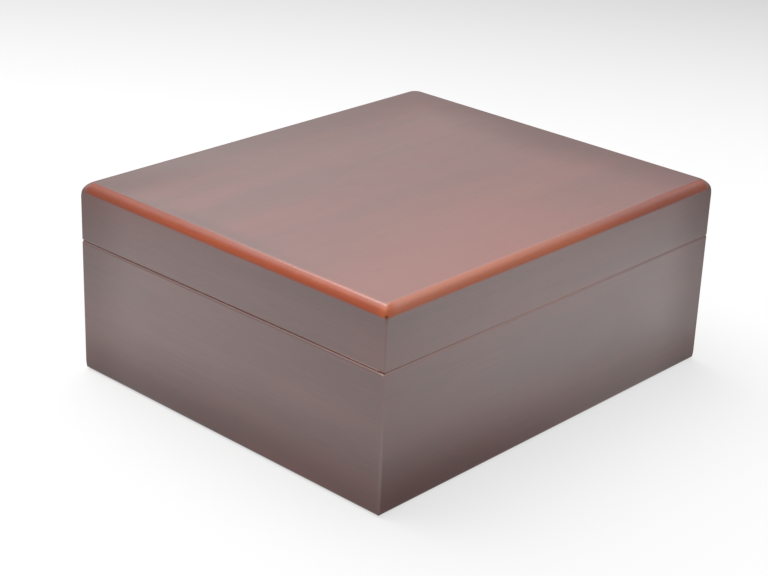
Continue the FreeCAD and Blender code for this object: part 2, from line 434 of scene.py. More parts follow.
# Noises of the wood: cycles per metre along and across the grain, detail, roughness, and step of the seed
STREAKS = (5, 60, 3.0, 0.55, 0)
LINES = (26, 900, 4.0, 0.6, 3)
CLOUDS = (9, 22, 2.0, 0.5, 7)
PORES = (130, 3600, 1.0, 0.5, 11)
LINE_SHARE = 0.50
CLOUD_SHARE = 0.22
TONE_SPAN = (0.32, 0.68)
PORE_SPAN = (0.60, 0.72)
VENEER_PORES = 0.35
CORE_PORES = 0.25


def wood_tones(tree, place, axis, dark, light, seed):
    """Colour of stained wood with broad streaks and clouds, its fine grain lines, and its short pores."""
    streaks, lines, clouds, pores = [grain_noise(tree, place, axis, kind, seed)
                                     for kind in (STREAKS, LINES, CLOUDS, PORES)]
    tone = weighted(tree, CLOUD_SHARE, clouds, weighted(tree, LINE_SHARE, lines, streaks))
    colour = mix_colour(tree, ramp(tree, tone, *TONE_SPAN), dark, light)
    return colour, lines, ramp(tree, pores, *PORE_SPAN)


def edge_insets(tree, place):
    """Depth of a point in from the case's end faces and from its long faces, and its level."""
    split = split_axes(tree, place)
    inset_x = minus(tree, HALF_WIDTH, math_node(tree, "ABSOLUTE", split[0]))
    inset_y = minus(tree, HALF_DEPTH, math_node(tree, "ABSOLUTE", split[1]))
    return inset_x, inset_y, split[2]


def face_depths(tree, place):
    """Depth of a point in from the left, front, right and back faces."""
    along_x, along_y, _ = split_axes(tree, place)
    return (plus(tree, HALF_WIDTH, along_x), plus(tree, HALF_DEPTH, along_y),
            minus(tree, HALF_WIDTH, along_x), minus(tree, HALF_DEPTH, along_y))


# Rub of the seam's arrises, and wear of the lacquer on them. BASE_NEAR and LID_NEAR are the rub of the front
# and of the left next to the corner between them, then the wear on each. On the lid, the rub along the left
# is painted light, which lifts the shade on that arris where it faces down.
SEAM_RUB_FRONT = 0.95
SEAM_RUB_RIGHT = 0.30
SEAM_RUB_SIDE = 0.20
SEAM_WEAR_SIDE = 0.28
BASE_NEAR = (0.80, 0.34, 0.0, 0.30)
LID_NEAR = (0.0, 0.95, 0.60, 0.0)
SEAM_FRONT = (5.0 * MM - HALF_DEPTH, 2.0 * MM - HALF_DEPTH)
RUB_LEFT_PART = (20.0 * MM - HALF_WIDTH, 0.0)
RUB_RIGHT_PART = (0.0, 0.9 * HALF_WIDTH)
RUB_SIDE_PART = (60.0 * MM - HALF_DEPTH, 10.0 * MM - HALF_DEPTH)
WEAR_SIDE_PART = (15.0 * MM - HALF_DEPTH, 70.0 * MM - HALF_DEPTH)


def seam_rub_and_light(tree, place, near):
    """Rub of the seam's arrises, most along the front, with painted light on the lid's left, and wear of
    their lacquer.
    """
    near_front, near_left, front_wear, left_wear = near
    along_x, along_y, _ = split_axes(tree, place)
    at_front = ramp(tree, along_y, *SEAM_FRONT)
    along_front = smallest(tree, ramp(tree, along_x, *RUB_LEFT_PART, near_front, SEAM_RUB_FRONT),
                           ramp(tree, along_x, *RUB_RIGHT_PART, SEAM_RUB_FRONT, SEAM_RUB_RIGHT))
    along_side = ramp(tree, along_y, *RUB_SIDE_PART, SEAM_RUB_SIDE, near_left)
    worn_front = ramp(tree, along_x, *RUB_LEFT_PART, front_wear, 0.0)
    worn_side = ramp(tree, along_y, *WEAR_SIDE_PART, left_wear, SEAM_WEAR_SIDE)
    return (mix_value(tree, at_front, along_side, along_front),
            mix_value(tree, at_front, worn_side, worn_front))


# Spans of the orange core's painted light and tones, along the width, the depth and the height
DEEP_RIGHT = (0.01, 0.115, 0.0, 0.80)
DEEP_BACK = (0.01, 0.11, 0.0, 0.82)
LIGHT_FRONT_SPAN = (8.0 * MM - HALF_DEPTH, 3.0 * MM - HALF_DEPTH)
LIGHT_ALONG_SPAN = (0.0, 0.07, 0.85, 0.0)
DULL_FRONT = ((-0.06, 0.04, 0.0, 0.62), (0.08, 0.12, 1.0, 0.6))
DULL_LEFT = ((-0.09, 0.0, 0.0, 0.42), (0.04, 0.10, 1.0, 0.4))
DULL_LEVELS = (CASE_TOP - 2.0 * MM, CASE_TOP - 0.6 * MM)


def hump(tree, value, spans):
    """Product of a rising and a falling span."""
    return times(tree, ramp(tree, value, *spans[0]), ramp(tree, value, *spans[1]))


def core_light_and_tones(tree, place, core):
    """Core with painted light along the left of the front edge, darker towards the right and the back, duller
    near the top.
    """
    along_x, along_y, level = split_axes(tree, place)
    deep = largest(tree, ramp(tree, along_x, *DEEP_RIGHT), ramp(tree, along_y, *DEEP_BACK))
    # Painted light along the left of the front edge, which gets less of the lamp than the left edge
    worn = times(tree, ramp(tree, along_y, *LIGHT_FRONT_SPAN), ramp(tree, along_x, *LIGHT_ALONG_SPAN))
    dull = largest(tree, hump(tree, along_x, DULL_FRONT), hump(tree, along_y, DULL_LEFT))
    dull = times(tree, dull, ramp(tree, level, *DULL_LEVELS))
    return layered(tree, core, (worn, CORE_PAINTED_LIGHT), (deep, CORE_DEEP), (dull, CORE_DULL))


# Weight of the lacquer left on bare wood, along the front and along the left edge, and lower down. The turn
# from left to front is short on the edge and long on the flat top.
FRONT_COAT = (-HALF_WIDTH, HALF_WIDTH, 0.90, 0.32)
LEFT_COAT = (HALF_DEPTH, -HALF_DEPTH, 0.0, 0.12)
COAT_LEVELS = (CASE_TOP - 2.4 * MM, CASE_TOP - 0.5 * MM)
FRONT_LOW = 0.45
LEFT_LOW = 0.30
EDGE_TURN = (0.0, 8.0 * MM)
TOP_TURN = (-10.0 * MM, 60.0 * MM)
FLAT_LEVELS = (CASE_TOP - 0.15 * MM, CASE_TOP - 0.02 * MM)

# The lacquer itself, and the haze in it
COAT_ROUGHNESS = 0.28
COAT_IOR = 2.1
WOOD_SPECULAR = 0.36
HAZE = ((45, 45, 45), 3.0, 0.6, 19)
HAZE_ROUGHNESS = (0.3, 0.7, 0.36, 0.44)
BARE_ROUGHNESS = 0.14
LINE_RELIEF = 0.4
WOOD_RELIEF = (0.06, 0.0001)


def bare_coat(tree, place, bare):
    """Weight of the lacquer, which stays thicker on the bare wood of the front than on that of the left."""
    inset_x, inset_y, level = edge_insets(tree, place)
    along_x, along_y, _ = split_axes(tree, place)
    front = times(tree, ramp(tree, along_x, *FRONT_COAT), ramp(tree, level, *COAT_LEVELS, FRONT_LOW, 1.0))
    left = times(tree, ramp(tree, along_y, *LEFT_COAT), ramp(tree, level, *COAT_LEVELS, LEFT_LOW, 1.0))
    past = minus(tree, inset_x, inset_y)
    nearer = mix_value(tree, ramp(tree, level, *FLAT_LEVELS), ramp(tree, past, *EDGE_TURN),
                       ramp(tree, past, *TOP_TURN))
    return mix_value(tree, bare, 1.0, mix_value(tree, nearer, left, front))


def finish_lacquer(tree, shader, place, colour, lines, pores, bare):
    """Satin lacquer over the colour, thinner on bare wood, with the grain just felt through it."""
    haze = ramp(tree, noise(tree, place, *HAZE), *HAZE_ROUGHNESS)
    relief = minus(tree, times(tree, lines, LINE_RELIEF), pores)
    add_relief(tree, shader, relief, WOOD_RELIEF)
    set_inputs(tree, shader, {
        "Base Color": colour,
        "Roughness": times_plus(tree, bare, BARE_ROUGHNESS, haze),
        "Coat Weight": bare_coat(tree, place, bare),
        "Coat Roughness": COAT_ROUGHNESS,
        "Coat IOR": COAT_IOR,
        "Specular IOR Level": WOOD_SPECULAR,
    })


# How much further in the lacquer is rubbed, along the left edge and along the front edge
RUB_LEFT = (-0.11, 0.10, -0.35 * MM, 1.1 * MM)
RUB_FRONT = (0.0, 0.11, 0.0, 1.3 * MM)

# Stain left on the lid's corners: across the plan from the near corner, and by the depth of the corner
STAIN_ACROSS = (-0.16, -0.10)
STAIN_DEPTH = (7.0 * MM, 3.0 * MM, 0.0, 0.8)


def edge_rub(tree, place, waver):
    """Depth in from the front or left face, and from the back or right face, along a hand-sanded edge.

    The third depth is the first one, less what the lacquer is rubbed further in, away from the near corner.
    """
    along_x, along_y, _ = split_axes(tree, place)
    left, front, right, back = face_depths(tree, place)

    def shallower(first, second):
        return plus(tree, smallest(tree, first, second), waver)

    rub_left = minus(tree, left, ramp(tree, along_y, *RUB_LEFT))
    rub_front = minus(tree, front, ramp(tree, along_x, *RUB_FRONT))
    return shallower(left, front), shallower(right, back), shallower(rub_left, rub_front)


def corner_stain(tree, place, deepest):
    """Where the stain was left on the lid's corners: on all of them but the one between left and front."""
    along_x, along_y, _ = split_axes(tree, place)
    across = ramp(tree, plus(tree, along_x, along_y), *STAIN_ACROSS)
    return times(tree, ramp(tree, deepest, *STAIN_DEPTH), across)


# Spans of the veneer's rubbing, over the depth in from a face, the level, and the distance past the seam.
# The span over the depth in from both faces spreads a painted sheen down the upright corners.
OVER_FOOT = (ROUND_FOOT - 0.7 * MM, ROUND_FOOT + 1.1 * MM)
RUBBED_NEAR = (TOP_ROUND + 1.6 * MM, TOP_ROUND - 1.6 * MM)
RUBBED_FAR = (TOP_ROUND - 0.9 * MM, TOP_ROUND - 2.6 * MM)
BARE_NEAR = (TOP_ROUND + 0.1 * MM, TOP_ROUND - 2.0 * MM)
BARE_FAR = (TOP_ROUND + 0.3 * MM, TOP_ROUND - 1.8 * MM)
ARRIS_SHEEN_SPAN = (1.6 * MM, 0.3 * MM, 0.0, 0.7)
RUBBED_SEAM = (-0.6 * MM, 0.3 * MM)
RUB_WAVER = ((55, 55, 55), 2.0, 0.5, 5)
RUB_WIDTH = 0.35 * MM
CORE_SEED = 40

# Small dark mark left where the lid's left and front veneers meet, and its reach
MARK_PLACE = (0.7 * MM - HALF_WIDTH, 0.7 * MM - HALF_DEPTH, CASE_TOP - 4.2 * MM)
MARK_REACH = (1.1 * MM, 0.4 * MM, 0.0, 0.75)


def veneer_material(name, axis, seam_level, seam_sense, seed, dark, light, shade):
    """Dark veneer, rubbed to its orange core on the round and the seam; its corners and the lid's seam get
    painted light.
    """
    material, tree, shader, place = new_material(name)
    colour, lines, pores = wood_tones(tree, place, axis, dark, light, seed)
    colour, thin = shade(tree, place, colour, axis)
    core = wood_tones(tree, place, axis, CORE_DARK, CORE_LIGHT, seed + CORE_SEED)[0]
    inset_x, inset_y, level = edge_insets(tree, place)
    waver = wandering(tree, place, RUB_WAVER, RUB_WIDTH)
    arris = plus(tree, largest(tree, inset_x, inset_y), waver)
    level = plus(tree, level, waver)
    unstained = minus(tree, 1.0, corner_stain(tree, place, arris))
    over_foot = times(tree, unstained, ramp(tree, level, *OVER_FOOT))
    near, far, lacquered = edge_rub(tree, place, waver)
    rubbed = largest(tree, ramp(tree, near, *RUBBED_NEAR), ramp(tree, far, *RUBBED_FAR))
    bare = largest(tree, ramp(tree, lacquered, *BARE_NEAR), ramp(tree, far, *BARE_FAR))
    past_seam = times(tree, minus(tree, level, seam_level), seam_sense)
    at_seam = ramp(tree, past_seam, *RUBBED_SEAM)
    rub_and_light, worn = seam_rub_and_light(tree, place, BASE_NEAR if seam_sense > 0 else LID_NEAR)
    bare = largest(tree, times(tree, over_foot, bare), times(tree, at_seam, worn))
    off_mark = add_node(tree, "ShaderNodeVectorMath", {0: place, 1: MARK_PLACE}, operation="DISTANCE")
    colour = layered(tree, colour, (times(tree, pores, VENEER_PORES), PORE_AND_SHADE_DARK),
                     (ramp(tree, arris, *ARRIS_SHEEN_SPAN), ARRIS_SHEEN),
                     (times(tree, over_foot, rubbed), core_light_and_tones(tree, place, core)),
                     (times(tree, at_seam, rub_and_light), SEAM_CORE_AND_LIGHT),
                     (ramp(tree, off_mark.outputs["Value"], *MARK_REACH), PORE_AND_SHADE_DARK))
    finish_lacquer(tree, shader, place, colour, lines, pores, largest(tree, bare, thin))
    return material


# Darker along the margins of the lid's top, widest at the back and narrowest at the left. Close
# to the left edge only part of it is kept, but all of it towards the back. The front is redder.
TOP_WAVER = ((9, 14, 14), 2.0, 0.5, 31)
TOP_WIDTH = 0.030
BACK_SCALE = 0.8
LEFT_SCALE = 3.0
MARGIN = (0.004, 0.052, 0.62, 0.0)
KEPT_LEFT = (0.010, 0.034, 0.25, 1.0)
KEPT_BACK = (0.02, 0.07)
RED_FRONT = (0.0, -0.105, 0.0, 0.70)
RED_LEFT = (-0.03, 0.09, 1.0, 0.15)
THIN_FAR = 0.5
THIN_NEAR = 0.15

# How softly the margins run into each other: their distances, their shades and their thinning
MARGIN_BLEND = 0.012
SHADE_BLEND = 0.2
THIN_BLEND = 0.1

# Painted shade towards the far end of a side, where its reflection is dimmer
END_PAINTED_SHADE = {"x": 0.45, "y": 0.30}
END_PART = (0.002, 0.045)


def shaded_top(tree, place, colour, axis):
    """Colour of the lid's top, darker along its margins and redder at the front, and how far its lacquer is
    thinned.
    """
    along_x, along_y, _ = split_axes(tree, place)
    left, _, right, back = face_depths(tree, place)
    left = times(tree, left, LEFT_SCALE)
    waver = wandering(tree, place, TOP_WAVER, TOP_WIDTH)
    from_far = math_node(tree, "SMOOTH_MIN", times(tree, back, BACK_SCALE), right, MARGIN_BLEND)
    far = ramp(tree, plus(tree, from_far, waver), *MARGIN)
    near = ramp(tree, plus(tree, left, waver), *MARGIN)
    kept = largest(tree, ramp(tree, left, *KEPT_LEFT), ramp(tree, along_y, *KEPT_BACK))
    near = times(tree, near, kept)
    edge = math_node(tree, "SMOOTH_MAX", far, near, SHADE_BLEND)
    front = ramp(tree, plus(tree, along_y, waver), *RED_FRONT)
    front = times(tree, front, ramp(tree, along_x, *RED_LEFT))
    thin = math_node(tree, "SMOOTH_MAX", times(tree, far, THIN_FAR), times(tree, near, THIN_NEAR), THIN_BLEND)
    return layered(tree, colour, (edge, TOP_EDGE), (front, TOP_FRONT)), thin


def painted_end_shade(tree, place, colour, axis):
    """Painted shade of a side, darker at its right end along x or its back end along y, and how far it is
    thinned.
    """
    _, _, right, back = face_depths(tree, place)
    end = ramp(tree, right if axis == "x" else back, *END_PART, END_PAINTED_SHADE[axis], 0.0)
    return mix_colour(tree, end, colour, PORE_AND_SHADE_DARK), end


# Dark stain run over the core: at the foot, on the lid's corners, and on the outermost edges below the round
FOOT_STAIN = (BASE_LOW + 6 * MM, BASE_LOW + 3 * MM)
CORNER_STAIN = (PANEL_LOW, PANEL_LOW + 1.0 * MM)
BELOW_ROUND = (CASE_TOP - 1.5 * TOP_ROUND, CASE_TOP - 2 * TOP_ROUND)
OUTER_STAIN = (1.6 * MM, 0.9 * MM, 0.0, 0.5)


def core_material(name, axis, seed):
    """Orange stained core, with the dark stain run over its lowest and outermost edges."""
    material, tree, shader, place = new_material(name)
    core, lines, pores = wood_tones(tree, place, axis, CORE_DARK, CORE_LIGHT, seed)
    inset_x, inset_y, level = edge_insets(tree, place)
    stain = corner_stain(tree, place, largest(tree, inset_x, inset_y))
    stain = times(tree, stain, ramp(tree, level, *CORNER_STAIN))
    outer = ramp(tree, smallest(tree, inset_x, inset_y), *OUTER_STAIN)
    outer = largest(tree, times(tree, outer, ramp(tree, level, *BELOW_ROUND)), stain)
    core = layered(tree, core_light_and_tones(tree, place, core), (times(tree, pores, CORE_PORES), PORE_AND_SHADE_DARK),
                   (largest(tree, ramp(tree, level, *FOOT_STAIN), outer), SIDE_DARK))
    finish_lacquer(tree, shader, place, core, lines, pores, minus(tree, 1.0, outer))
    return material


# Suede: its noises, what each adds to the tone, and the rest of its finish
NAP = ((38, 55, 38), 3.0, 0.6, 2)
STROKES = ((240, 90, 160), 2.0, 0.5, 6)
FIBRES = ((2600, 2600, 2600), 3.0, 0.7, 9)
SUEDE_SHARES = (0.45, 0.35, 0.30)
SUEDE_LIGHT = (0.700, 0.615, 0.500, 1)
SUEDE_DEEP = (0.585, 0.500, 0.390, 1)
SUEDE_SPAN = (0.40, 0.68)
SUEDE_ROUGHNESS = (0.3, 0.7, 0.82, 0.95)
NAP_RELIEF = 0.5
SUEDE_RELIEF = (0.35, 0.0002)
SUEDE_SHEEN = 0.35
SHEEN_ROUGHNESS = 0.45
SUEDE_SPECULAR = 0.15


def suede_material(name):
    """Brushed microfibre suede: cloudy nap, fine fibres and a soft sheen."""
    material, tree, shader, place = new_material(name)
    nap, strokes, fibres = [noise(tree, place, *kind) for kind in (NAP, STROKES, FIBRES)]
    tone = times_plus(tree, strokes, SUEDE_SHARES[1], times(tree, nap, SUEDE_SHARES[0]))
    tone = times_plus(tree, fibres, SUEDE_SHARES[2], tone)
    add_relief(tree, shader, times_plus(tree, nap, NAP_RELIEF, fibres), SUEDE_RELIEF)
    set_inputs(tree, shader, {
        "Base Color": mix_colour(tree, ramp(tree, tone, *SUEDE_SPAN), SUEDE_DEEP, SUEDE_LIGHT),
        "Roughness": ramp(tree, nap, *SUEDE_ROUGHNESS),
        "Sheen Weight": SUEDE_SHEEN,
        "Sheen Roughness": SHEEN_ROUGHNESS,
        "Specular IOR Level": SUEDE_SPECULAR,
    })
    return material


# Felt: its noises, the shares of the hairs and of the clouds, and the rest of its finish
FELT_MAT = ((700, 700, 700), 4.0, 0.7, 1)
FELT_HAIRS = ((350, 2400, 900), 2.0, 0.6, 4)
FELT_CLOUDS = ((30, 30, 30), 2.0, 0.5, 8)
HAIR_SHARE = 0.4
FELT_CLOUD_SHARE = 0.25
FELT_LIGHT = (0.030, 0.026, 0.024, 1)
FELT_DEEP = (0.012, 0.010, 0.009, 1)
FELT_SPAN = (0.38, 0.64)
FELT_ROUGHNESS = (0.3, 0.7, 0.88, 1.0)
FELT_RELIEF = (0.6, 0.0003)
FELT_SHEEN = 0.2
FELT_SPECULAR = 0.1


def felt_material(name):
    """Pressed wool felt: matted fibres with a few lighter hairs."""
    material, tree, shader, place = new_material(name)
    mat, hairs, clouds = [noise(tree, place, *kind) for kind in (FELT_MAT, FELT_HAIRS, FELT_CLOUDS)]
    tone = weighted(tree, FELT_CLOUD_SHARE, clouds, weighted(tree, HAIR_SHARE, hairs, mat))
    add_relief(tree, shader, tone, FELT_RELIEF)
    set_inputs(tree, shader, {
        "Base Color": mix_colour(tree, ramp(tree, tone, *FELT_SPAN), FELT_DEEP, FELT_LIGHT),
        "Roughness": ramp(tree, mat, *FELT_ROUGHNESS),
        "Sheen Weight": FELT_SHEEN,
        "Specular IOR Level": FELT_SPECULAR,
    })
    return material


# Brass: its noises, the share of the drawn lines in tone and roughness, and the rest of its finish. Each kind
# of piece has a light and a deep colour and a roughness.
DRAWN_LINES = ((60, 5200, 5200), 3.0, 0.6, 3)
TARNISH = ((260, 260, 260), 3.0, 0.6, 7)
SPECKS = ((1500, 1500, 1500), 2.0, 0.6, 12)
DRAWN_SHARE = 0.4
ROUGH_SHARE = 0.5
SPECK_SPAN = (0.60, 0.72)
SPECK_SHARE = 0.3
BRASS_SPAN = (0.34, 0.62)
ROUGH_SPAN = (0.3, 0.7)
SMOOTHER = 0.06
ROUGHER = 0.10
BRASS_RELIEF = (0.10, 0.00005)
HINGE_BRASS = ((0.800, 0.580, 0.270, 1), (0.560, 0.370, 0.140, 1), 0.28)
SCREW_BRASS = ((0.760, 0.530, 0.230, 1), (0.460, 0.290, 0.110, 1), 0.34)
PIN_BRASS = ((0.700, 0.500, 0.240, 1), (0.440, 0.290, 0.120, 1), 0.30)


def brass_material(name, light, deep, rough):
    """Drawn brass: fine lines along the hinge, cloudy tarnish and small handling marks."""
    material, tree, shader, place = new_material(name)
    drawn, tarnish, specks = [noise(tree, place, *kind) for kind in (DRAWN_LINES, TARNISH, SPECKS)]
    tone = ramp(tree, weighted(tree, DRAWN_SHARE, drawn, tarnish), *BRASS_SPAN)
    marks = times(tree, ramp(tree, specks, *SPECK_SPAN), SPECK_SHARE)
    add_relief(tree, shader, drawn, BRASS_RELIEF)
    set_inputs(tree, shader, {
        "Base Color": layered(tree, deep, (tone, light), (marks, deep)),
        "Roughness": ramp(tree, weighted(tree, ROUGH_SHARE, drawn, tarnish), *ROUGH_SPAN,
                          rough - SMOOTHER, rough + ROUGHER),
        "Metallic": 1.0,
    })
    return material


# Outside of the case

GRAIN_AXIS = {"front": "x", "right": "y", "back": "x", "left": "y"}
WALL_SEED = 4
PANEL_SEED = 9
TOP_SEED = 13
FOOT_ANGLE = -math.acos(1 - VENEER / BASE_ROUND)
LOW_BAND_ANGLE = math.acos(1 - VENEER / TOP_ROUND)
HIGH_BAND_ANGLE = math.asin(1 - VENEER / TOP_ROUND)
ARRIS_RISE = ARRIS_EASE * math.tan(QUARTER / 4)
TOP_PANEL = [
    point_run(WALL + PANEL_FIT, CEILING),
    point_run(WALL + PANEL_FIT, PANEL_LOW),
    point_run(VENEER, PANEL_LOW),
    arc_run(TOP_ROUND, ROUND_FOOT, TOP_ROUND, LOW_BAND_ANGLE, HIGH_BAND_ANGLE),
]
TOP_VENEER = [arc_run(TOP_ROUND, ROUND_FOOT, TOP_ROUND, HIGH_BAND_ANGLE, QUARTER)]


def base_veneer_outline(chamfer):
    return [
        arc_run(BASE_ROUND, BASE_LOW + BASE_ROUND, BASE_ROUND, FOOT_ANGLE, 0),
        *[point_run(0, BASE_LOW + BASE_ROUND + (FOOT_RISE - BASE_ROUND) * (step + 1) / BALL_STEPS)
          for step in range(BALL_STEPS)],
        arc_run(ARRIS_EASE, RIM - chamfer - ARRIS_RISE, ARRIS_EASE, 0, QUARTER / 2),
        point_run(VENEER, RIM - chamfer + VENEER),
        point_run(VENEER, BASE_LOW + FOOT_RISE),
    ]


def lid_veneer_outline(ease):
    low = LID_LOW - LID_HANG
    return [
        point_run(VENEER, low),
        arc_run(ease, low + ease, ease, -QUARTER, 0),
        *[point_run(0, ROUND_FOOT - BALL_RISE * (1 - step / BALL_STEPS)) for step in range(BALL_STEPS)],
        arc_run(TOP_ROUND, ROUND_FOOT, TOP_ROUND, 0, LOW_BAND_ANGLE),
        point_run(VENEER, PANEL_LOW),
    ]


def dress(piece, material):
    """The piece gets one material, in place of those it had."""
    piece.data.materials.clear()
    piece.data.materials.append(material)


def fit(piece, node, body, material):
    """The piece stands for a node, rides on its body and gets its material."""
    dress(piece, material)
    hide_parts(node)
    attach(piece, body)


for number, (side, axis) in enumerate(GRAIN_AXIS.items()):
    chamfer = FRONT_CHAMFER if side == "front" else SEAM_CHAMFER
    ease = FRONT_EASE if side == "front" else LID_EASE
    halves = (("base", base_veneer_outline(chamfer), foot_corner, RIM - chamfer, 1),
              ("lid", lid_veneer_outline(ease), ball_corner, LID_LOW + ease - LID_HANG, -1))
    for half, outline, rounding, seam_level, seam_sense in halves:
        node = half + "_" + side + "_veneer"
        fit(side_strip(node + "_face", side, outline, rounding), node, half,
            veneer_material(node, axis, seam_level, seam_sense, number, SIDE_DARK, SIDE_LIGHT, painted_end_shade))
        node = half + "_" + side + "_wall"
        dress(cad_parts[node], core_material(node, axis, number + WALL_SEED))

fit(ring_piece("lid_top_panel_core", TOP_PANEL, ball_corner), "lid_top_panel", "lid",
    core_material("lid_top_panel", "x", PANEL_SEED))
fit(ring_piece("lid_top_veneer_face", TOP_VENEER, ball_corner), "lid_top_veneer", "lid",
    veneer_material("lid_top_veneer", "x", LID_LOW + LID_EASE, -1, TOP_SEED, TOP_DARK, TOP_LIGHT, shaded_top))


# Lining

LINER_TOP_EASE = 0.85 * MM
LID_LINER_EASE = 0.65 * MM
suede = suede_material("suede")


def node_insets(node):
    """Outer and inner depth of a front board's faces below the case's front face, and its levels."""
    low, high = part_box(node)
    return HALF_DEPTH + low.y, HALF_DEPTH + high.y, low.z, high.z


def base_liner_outline():
    outer, inner, low, high = node_insets("base_front_liner")
    ease = LINER_TOP_EASE
    return [
        point_run(inner, low),
        point_run(outer, low),
        arc_run(outer + ease, high - ease, ease, 0, QUARTER),
        arc_run(inner - ease, high - ease, ease, QUARTER, 2 * QUARTER),
    ]


def lid_liner_outline():
    outer, inner, low, high = node_insets("lid_front_liner")
    ease = LID_LINER_EASE
    return [
        arc_run(inner - ease, low + ease, ease, -2 * QUARTER, -QUARTER),
        arc_run(outer + ease, low + ease, ease, -QUARTER, 0),
        point_run(outer, high),
        point_run(inner, high),
    ]


for side in SIDES:
    for half, outline in (("base", base_liner_outline()), ("lid", lid_liner_outline())):
        node = half + "_" + side + "_liner"
        strip = side_strip(node + "_wrapped", side, outline, even_corner(FINE_ROUND))
        fit(strip, node, half, suede)


# Pads. Each has the height of its edge, the rise of its crown above that, and the ease of its edge.

FLOOR_PAD = (7.0 * MM, 1.9 * MM, 4.0 * MM)
LID_PAD = (4.0 * MM, 1.4 * MM, 2.6 * MM)
PAD_CELL = 5.0 * MM
PAD_CORNER = 6.0 * MM
PAD_EDGE_STEPS = 5
PAD_SIDES = (0.66, 0.33, 0.0)
PAD_FRAMES = 16
PAD_PRESSURE = 3.0
PAD_STRETCH = 25
PAD_BENDING = 2.0
HELD_LEVEL = 0.1 * MM


def grid_lines(half, ease):
    """Grid places across a pad, close together over its rounded edge."""
    turns = [QUARTER * step / PAD_EDGE_STEPS for step in range(PAD_EDGE_STEPS + 1)]
    eased = [half - ease * (1 - math.cos(turn)) for turn in turns]
    flat = half - ease
    count = math.ceil(flat / PAD_CELL)
    inside = [flat * step / count for step in range(count)]
    positive = inside[1:] + sorted(eased)
    return [-place for place in reversed(positive)] + [0.0] + positive


def rounded_place(x, y, half_x, half_y):
    """Grid place moved so that the pad's plan corners follow an arc."""
    past_x = abs(x) - (half_x - PAD_CORNER)
    past_y = abs(y) - (half_y - PAD_CORNER)
    if past_x <= 0 or past_y <= 0:
        return x, y
    share_x = past_x / PAD_CORNER
    share_y = past_y / PAD_CORNER
    new_x = half_x - PAD_CORNER + PAD_CORNER * share_x * math.sqrt(1 - share_y ** 2 / 2)
    new_y = half_y - PAD_CORNER + PAD_CORNER * share_y * math.sqrt(1 - share_x ** 2 / 2)
    return math.copysign(new_x, x), math.copysign(new_y, y)


def pad_skin(name, half_x, half_y, edge, ease):
    """Open skin of a pad standing on level 0: flat top, rounded upper edge and upright sides."""
    lines_x = grid_lines(half_x, ease)
    lines_y = grid_lines(half_y, ease)
    work = bmesh.new()
    grid = []
    for x in lines_x:
        column = []
        for y in lines_y:
            drop_x = max(0.0, abs(x) - (half_x - ease))
            drop_y = max(0.0, abs(y) - (half_y - ease))
            drop = min(ease, math.hypot(drop_x, drop_y))
            level = edge - ease + math.sqrt(ease ** 2 - drop ** 2)
            column.append(work.verts.new((*rounded_place(x, y, half_x, half_y), level)))
        grid.append(column)
    for here in range(len(lines_x) - 1):
        for there in range(len(lines_y) - 1):
            work.faces.new((grid[here][there], grid[here + 1][there],
                            grid[here + 1][there + 1], grid[here][there + 1]))
    rim = [column[0] for column in grid] + grid[-1][1:]
    rim += [column[-1] for column in reversed(grid[:-1])] + grid[0][-2:0:-1]
    for share in PAD_SIDES:
        lower = [work.verts.new((point.co.x, point.co.y, (edge - ease) * share)) for point in rim]
        for here in range(len(rim)):
            work.faces.new((rim[here - 1], lower[here - 1], lower[here], rim[here]))
        rim = lower
    bmesh.ops.recalc_face_normals(work, faces=work.faces)
    mesh = bpy.data.meshes.new(name)
    work.to_mesh(mesh)
    work.free()
    return show_mesh(name, mesh)


def blow_up(piece, crown):
    """Cloth simulation of the skin under pressure, held at its foot, scaled to the wanted crown."""
    held = piece.vertex_groups.new(name="held")
    held.add([point.index for point in piece.data.vertices if point.co.z < HELD_LEVEL], 1.0, "REPLACE")
    before = [point.co.copy() for point in piece.data.vertices]
    cloth = piece.modifiers.new("cloth", "CLOTH")
    settings = cloth.settings
    settings.vertex_group_mass = "held"
    settings.use_pressure = True
    settings.uniform_pressure_force = PAD_PRESSURE
    settings.effector_weights.gravity = 0.0
    settings.tension_stiffness = PAD_STRETCH
    settings.compression_stiffness = PAD_STRETCH
    settings.bending_stiffness = PAD_BENDING
    cloth.point_cache.frame_start = 1
    cloth.point_cache.frame_end = PAD_FRAMES
    scene = bpy.context.scene
    for number in range(1, PAD_FRAMES + 1):
        scene.frame_set(number)
    shaped = piece.evaluated_get(bpy.context.evaluated_depsgraph_get()).data
    moves = [point.co - old for point, old in zip(shaped.vertices, before)]
    highest = max(move.z for move in moves)
    piece.modifiers.remove(cloth)
    for point, old, move in zip(piece.data.vertices, before, moves):
        point.co = old + move * (crown / highest)
    scene.frame_set(1)


def close_foot(piece):
    """Flat underside for a pad."""
    work = bmesh.new()
    work.from_mesh(piece.data)
    rim = [one for one in work.edges if one.is_boundary]
    bmesh.ops.contextual_create(work, geom=rim)
    bmesh.ops.recalc_face_normals(work, faces=work.faces)
    work.to_mesh(piece.data)
    work.free()
    piece.data.shade_smooth()


def make_pad(name, node, body, flip, sizes):
    """Padded panel in the place of its solid, domed away from the board that carries it."""
    edge, crown, ease = sizes
    low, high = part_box(node)
    half_x = (high.x - low.x) / 2
    half_y = (high.y - low.y) / 2
    piece = pad_skin(name, half_x, half_y, edge, ease)
    blow_up(piece, crown)
    close_foot(piece)
    if flip:
        piece.data.transform(Matrix.Rotation(math.pi, 4, "X"))
        piece.data.transform(Matrix.Translation((0, 0, high.z)))
    else:
        piece.data.transform(Matrix.Translation((0, 0, low.z)))
    fit(piece, node, body, suede)


make_pad("base_floor_cushion", "base_floor_pad", "base", False, FLOOR_PAD)
make_pad("lid_cushion", "lid_pad", "lid", True, LID_PAD)


# Felt under the base

